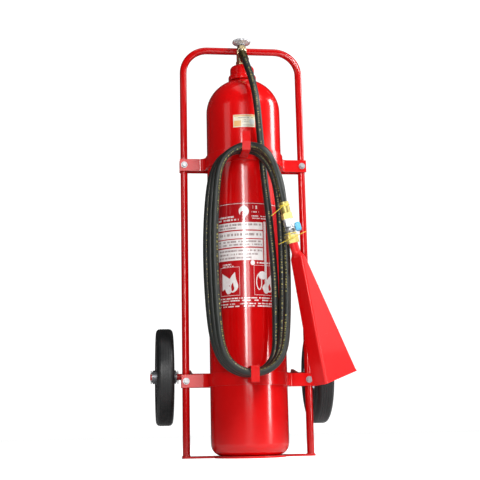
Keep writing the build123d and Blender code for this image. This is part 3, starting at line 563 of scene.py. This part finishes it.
LOOKS = {
    "base_plate": red_frame, "frame_tube": red_tube_painted_shade, "cylinder": red_shell, "neck_collar": red_shell,
    "upper_clamp_front": red_frame, "upper_clamp_rear": red_frame, "lower_clamp_front": red_frame,
    "lower_clamp_rear": red_frame, "upper_hook": red_frame, "lower_hook": red_frame,
    "axle_brackets": red_frame, "axle": red_frame, "clamp_bolts": steel, "clamp_washers": steel,
    "clamp_nuts": steel, "axle_washers": steel, "cotter_pins": steel, "tyre_left": None,
    "tyre_right": None, "rim_left": wheel_paint, "rim_right": wheel_paint,
    "wheel_disc_left": wheel_paint, "wheel_disc_right": wheel_paint, "hub_left": wheel_paint,
    "hub_right": wheel_paint, "bush_left": brass, "bush_right": brass, "valve_body": brass,
    "gland_nut": brass, "spindle": steel,
    "handwheel": cast_grey, "handwheel_nut": steel, "burst_disc_plug": brass, "dip_tube": drawn_tube,
    "outlet_nut": brass, "outlet_elbow": brass, "inlet_ferrule": yellow_zinc_painted_shade, "hose": None,
    "end_ferrule": zinc_yellow, "union_nut": steel, "ball_valve_body": steel, "valve_ball": ball_steel,
    "lever": steel, "lever_sleeve": blue_grip, "lever_nut": steel, "horn_nut": zinc_yellow,
    "horn": red_horn, "seal_ties": yellow_tie, "label_main": None, "label_small": None,
}


def dress(obj, material):
    obj.data.materials.clear()
    obj.data.materials.append(material)


tyre_black = tyre_rubber()
for name, obj in NODES.items():
    if LOOKS.get(name):
        dress(obj, LOOKS[name])
for side in ("left", "right"):
    dress(NODES[f"tyre_{side}"], tyre_black)
hose_black = hose_rubber()
dress(hose, hose_black)
dress(NODES["hose"], hose_black)
dress(NODES["label_main"], main_label())
dress(NODES["label_small"], small_label())

# ---- weld beads --------------------------------------------------------------------------

BEAD_R = 2.0
BEAD_PITCH = 3.2
BEAD_SIDES = 8


def weld_bead(name, points, closed=False):
    """A rippled bead of weld along points in millimetres, painted with the frame."""
    stations = []
    loop = points + points[:1] if closed else points
    for start, end in zip(loop, loop[1:]):
        start, end = Vector(start), Vector(end)
        steps = max(2, round((end - start).length / (BEAD_PITCH / 4)))
        stations += [start.lerp(end, step / steps) for step in range(steps)]
    if not closed:
        stations.append(Vector(points[-1]))
    form = bmesh.new()
    rings, travelled = [], 0.0
    for index, place in enumerate(stations):
        before = stations[index - 1] if index or closed else place
        after = stations[(index + 1) % len(stations)] if index + 1 < len(stations) or closed else place
        heading = (after - before).normalized()
        side = heading.orthogonal() if abs(heading.z) > 0.9 else heading.cross(Vector((0, 0, 1)))
        side.normalize()
        up = side.cross(heading)
        ripple = 0.82 + 0.18 * abs(math.sin(math.pi * travelled / BEAD_PITCH))
        end_share = 1.0 if closed else min(1.0, 0.35 + 0.2 * min(index, len(stations) - 1 - index))
        radius = BEAD_R * ripple * end_share
        turns = [2 * math.pi * corner / BEAD_SIDES for corner in range(BEAD_SIDES)]
        rings.append([form.verts.new((place + (side * math.cos(t) + up * math.sin(t)) * radius) * MM)
                      for t in turns])
        travelled += BEAD_PITCH / 4
    pairs = list(zip(rings, rings[1:])) + ([(rings[-1], rings[0])] if closed else [])
    for low, high in pairs:
        for corner in range(BEAD_SIDES):
            after = (corner + 1) % BEAD_SIDES
            form.faces.new((low[corner], low[after], high[after], high[corner]))
    if not closed:
        form.faces.new(list(reversed(rings[0])))
        form.faces.new(rings[-1])
    bmesh.ops.recalc_face_normals(form, faces=form.faces)
    mesh = bpy.data.meshes.new(name)
    form.to_mesh(mesh)
    form.free()
    for face in mesh.polygons:
        face.use_smooth = True
    bead = bpy.data.objects.new(name, mesh)
    bpy.context.scene.collection.objects.link(bead)
    mesh.materials.append(red_frame)
    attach(bead, TROLLEY)


POST_X, POST_Y, TUBE_R, BASE_T = 184.4, 29.0, 11.0, 6.0
BRACKET_X, BRACKET_HALF, EAR_BACK_Y = 163.0, 3.0, 45.0
STRAP_OUT_R = 119.5
HOOK_HALF = 12.0
BRACKET_SEAM_Z = (207.0, 240.0)
FOOT_STEPS = 24
# each hook's middle in x, and the low and high ends of its seams
HOOKS = {"upper": (-17.0, 879.0, 900.0), "lower": (-6.0, 211.0, 240.0)}


def make_welds():
    for side_name, side in (("left", -1), ("right", 1)):
        turns = [2 * math.pi * step / FOOT_STEPS for step in range(FOOT_STEPS)]
        middle = side * POST_X
        foot = [(middle + TUBE_R * math.cos(t), POST_Y + TUBE_R * math.sin(t), BASE_T) for t in turns]
        weld_bead(f"weld_foot_{side_name}", foot, closed=True)
        for edge_name, edge in (("inner", -1), ("outer", 1)):
            x = side * (BRACKET_X + edge * BRACKET_HALF)
            seam = [(x, EAR_BACK_Y, z) for z in BRACKET_SEAM_Z]
            weld_bead(f"weld_bracket_{side_name}_{edge_name}", seam)
    for hook_name, (middle, low, high) in HOOKS.items():
        for edge_name, edge in (("left", -1), ("right", 1)):
            x = middle + edge * HOOK_HALF
            y = -math.sqrt(STRAP_OUT_R ** 2 - x ** 2)
            weld_bead(f"weld_{hook_name}_hook_{edge_name}", [(x, y, low), (x, y, high)])


make_welds()

# ---- floor, world and lights -------------------------------------------------------------


# How bright they are: first to the light that falls on the object, then to the eye.
FLOOR_GLOW = (0.03, 0.94)
WORLD_GLOW = (0.045, 1.15)
FLOOR_R, FLOOR_SIDES = 14.0, 48


def make_stage():
    mesh = bpy.data.meshes.new("floor")
    form = bmesh.new()
    bmesh.ops.create_circle(form, cap_ends=True, segments=FLOOR_SIDES, radius=FLOOR_R)
    form.to_mesh(mesh)
    form.free()
    floor = bpy.data.objects.new("floor", mesh)
    bpy.context.scene.collection.objects.link(floor)
    look = Look("floor_pale", (0.86, 0.86, 0.86), Roughness=0.7)
    look.colour(look.mix(look.span(look.noise(2.0), 0.3, 0.7), (0.86, 0.86, 0.86), (0.88, 0.88, 0.88)))
    look.shader.inputs["Emission Color"].default_value = (1, 1, 1, 1)
    seen = look.node("ShaderNodeLightPath").outputs["Is Camera Ray"]
    look.put(look.shader.inputs["Emission Strength"], look.span(seen, 0, 1, *FLOOR_GLOW))
    mesh.materials.append(look.finish())


def make_world():
    """White behind everything, and a dimmer even light for what the surfaces reflect."""
    world = bpy.data.worlds.new("studio")
    bpy.context.scene.world = world
    world.use_nodes = True
    tree = world.node_tree
    background = tree.nodes["Background"]
    background.inputs["Color"].default_value = (1, 1, 1, 1)
    path = tree.nodes.new("ShaderNodeLightPath")
    level = tree.nodes.new("ShaderNodeMapRange")
    level.inputs[3].default_value, level.inputs[4].default_value = WORLD_GLOW
    tree.links.new(path.outputs["Is Camera Ray"], level.inputs[0])
    tree.links.new(level.outputs[0], background.inputs["Strength"])


def area_light(name, at, towards, width, height, power):
    data = bpy.data.lights.new(name, "AREA")
    data.shape = "RECTANGLE"
    data.size, data.size_y = width, height
    data.energy = power
    light = bpy.data.objects.new(name, data)
    bpy.context.scene.collection.objects.link(light)
    light.location = at
    aim = Vector(towards) - Vector(at)
    light.rotation_euler = aim.to_track_quat("-Z", "Y").to_euler()


make_stage()
make_world()
area_light("strip_front", (-0.60, -3.10, 1.20), (-0.05, 0, 1.20), 0.34, 1.45, 34)
area_light("card_front", (-0.10, -3.15, 1.10), (-0.05, 0, 1.10), 0.40, 1.60, 11)
area_light("key_high", (1.9, -2.3, 3.2), (0, 0, 0.6), 1.1, 1.1, 110)
area_light("strip_high", (2.27, 0.20, 1.95), (0, 0, 0.9), 0.7, 0.9, 26)
area_light("strip_low", (2.1, -1.53, 0.42), (0, 0, 0.42), 0.34, 0.62, 12)
area_light("card_right", (2.6, -0.75, 1.25), (0, 0, 0.6), 1.0, 1.0, 3.8)
area_light("box_left", (-2.4, -1.6, 1.5), (0, 0, 0.7), 0.9, 1.4, 4)
area_light("top_soft", (0.2, -0.6, 3.0), (0, 0, 0.6), 1.6, 1.6, 6)
bpy.context.scene.view_settings.view_transform = "Standard"
